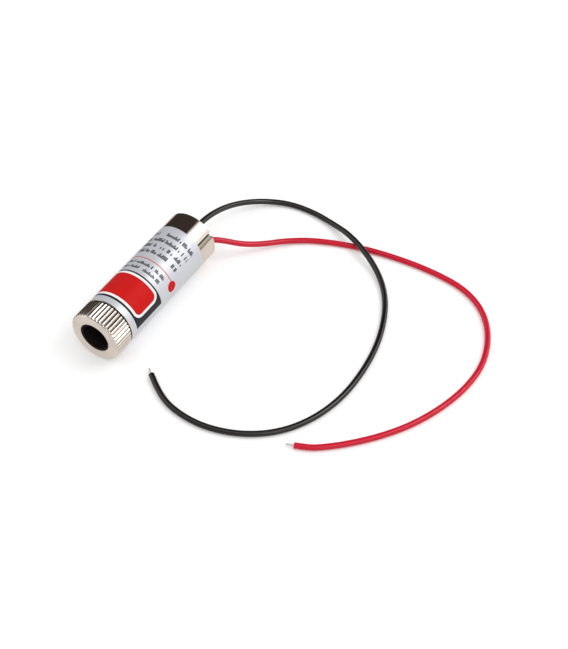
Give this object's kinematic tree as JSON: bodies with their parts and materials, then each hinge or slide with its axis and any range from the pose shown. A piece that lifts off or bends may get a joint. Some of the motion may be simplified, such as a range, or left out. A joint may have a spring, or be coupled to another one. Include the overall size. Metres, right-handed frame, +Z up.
{
  "type": "laser diode module",
  "caption": "Cylindrical laser diode module with a fluted screw-focus lens cap, a wrapped label, and a black and a red lead leaving its open rear end.",
  "frame": {"origin": "on the floor under the middle of the module, which lies on its side; the leads don't count", "axes": "+Y along the module's axis towards the leads, so the beam leaves towards -Y; +Z up; +X to the side on which the leads lie"},
  "size_m": [0.0762, 0.0653, 0.012],
  "materials": {
    "nickel_tube": "bright nickel plate over turned brass",
    "nickel_cap": "bright nickel plate, fluted edge",
    "label_film": "silver polyester film, satin",
    "black_anodised": "matte black inside",
    "lens": "clear polished lens",
    "retainer": "matte black",
    "spring_steel": "drawn stainless wire",
    "holder_brass": "turned, plain",
    "diode_gold": "thin gold plate",
    "diode_can": "nickel plated",
    "diode_window": "clear flat glass",
    "board": "green solder mask over woven glass board",
    "transistor_black": "moulded epoxy",
    "resistor_black": "glazed ceramic with tinned ends",
    "capacitor_yellow": "moulded epoxy",
    "solder": "bright tin solder",
    "black_pvc": "glossy insulation",
    "red_pvc": "glossy insulation",
    "tinned_copper": "tinned"
  },
  "bodies": {
    "housing": {"body_tube": "nickel_tube", "label_wrap": "label_film", "diode_holder": "holder_brass", "diode_base": "diode_gold", "diode_can": "diode_can", "diode_window": "diode_window", "diode_pins": "diode_gold", "driver_board": "board", "drive_transistor": "transistor_black", "board_resistors": "resistor_black", "filter_capacitor": "capacitor_yellow", "diode_solder": "solder", "lead_solder": "solder", "black_lead": "black_pvc", "red_lead": "red_pvc", "black_lead_tip": "tinned_copper", "red_lead_tip": "tinned_copper"},
    "focus_carriage": {"focus_spring": "spring_steel"},
    "focus_barrel": {"focus_cap": "nickel_cap", "lens_cell": "black_anodised", "lens": "lens", "lens_retainer": "retainer"}
  },
  "joints": [
    {"name": "focus_travel", "type": "slide", "parent": "housing", "child": "focus_carriage", "axis": [0, -1, 0], "range_m": [-0.0002, 0.0015], "deforming": ["focus_spring"]},
    {"name": "focus_turn", "type": "hinge", "parent": "focus_carriage", "child": "focus_barrel", "pos_m": [0, 0, 0.006], "axis": [0, -1, 0], "range_deg": [-144, 1080]}
  ],
  "couplings": [
    {"joint": "focus_turn", "follows": "focus_travel", "rad_per_m": 12566}
  ]
}
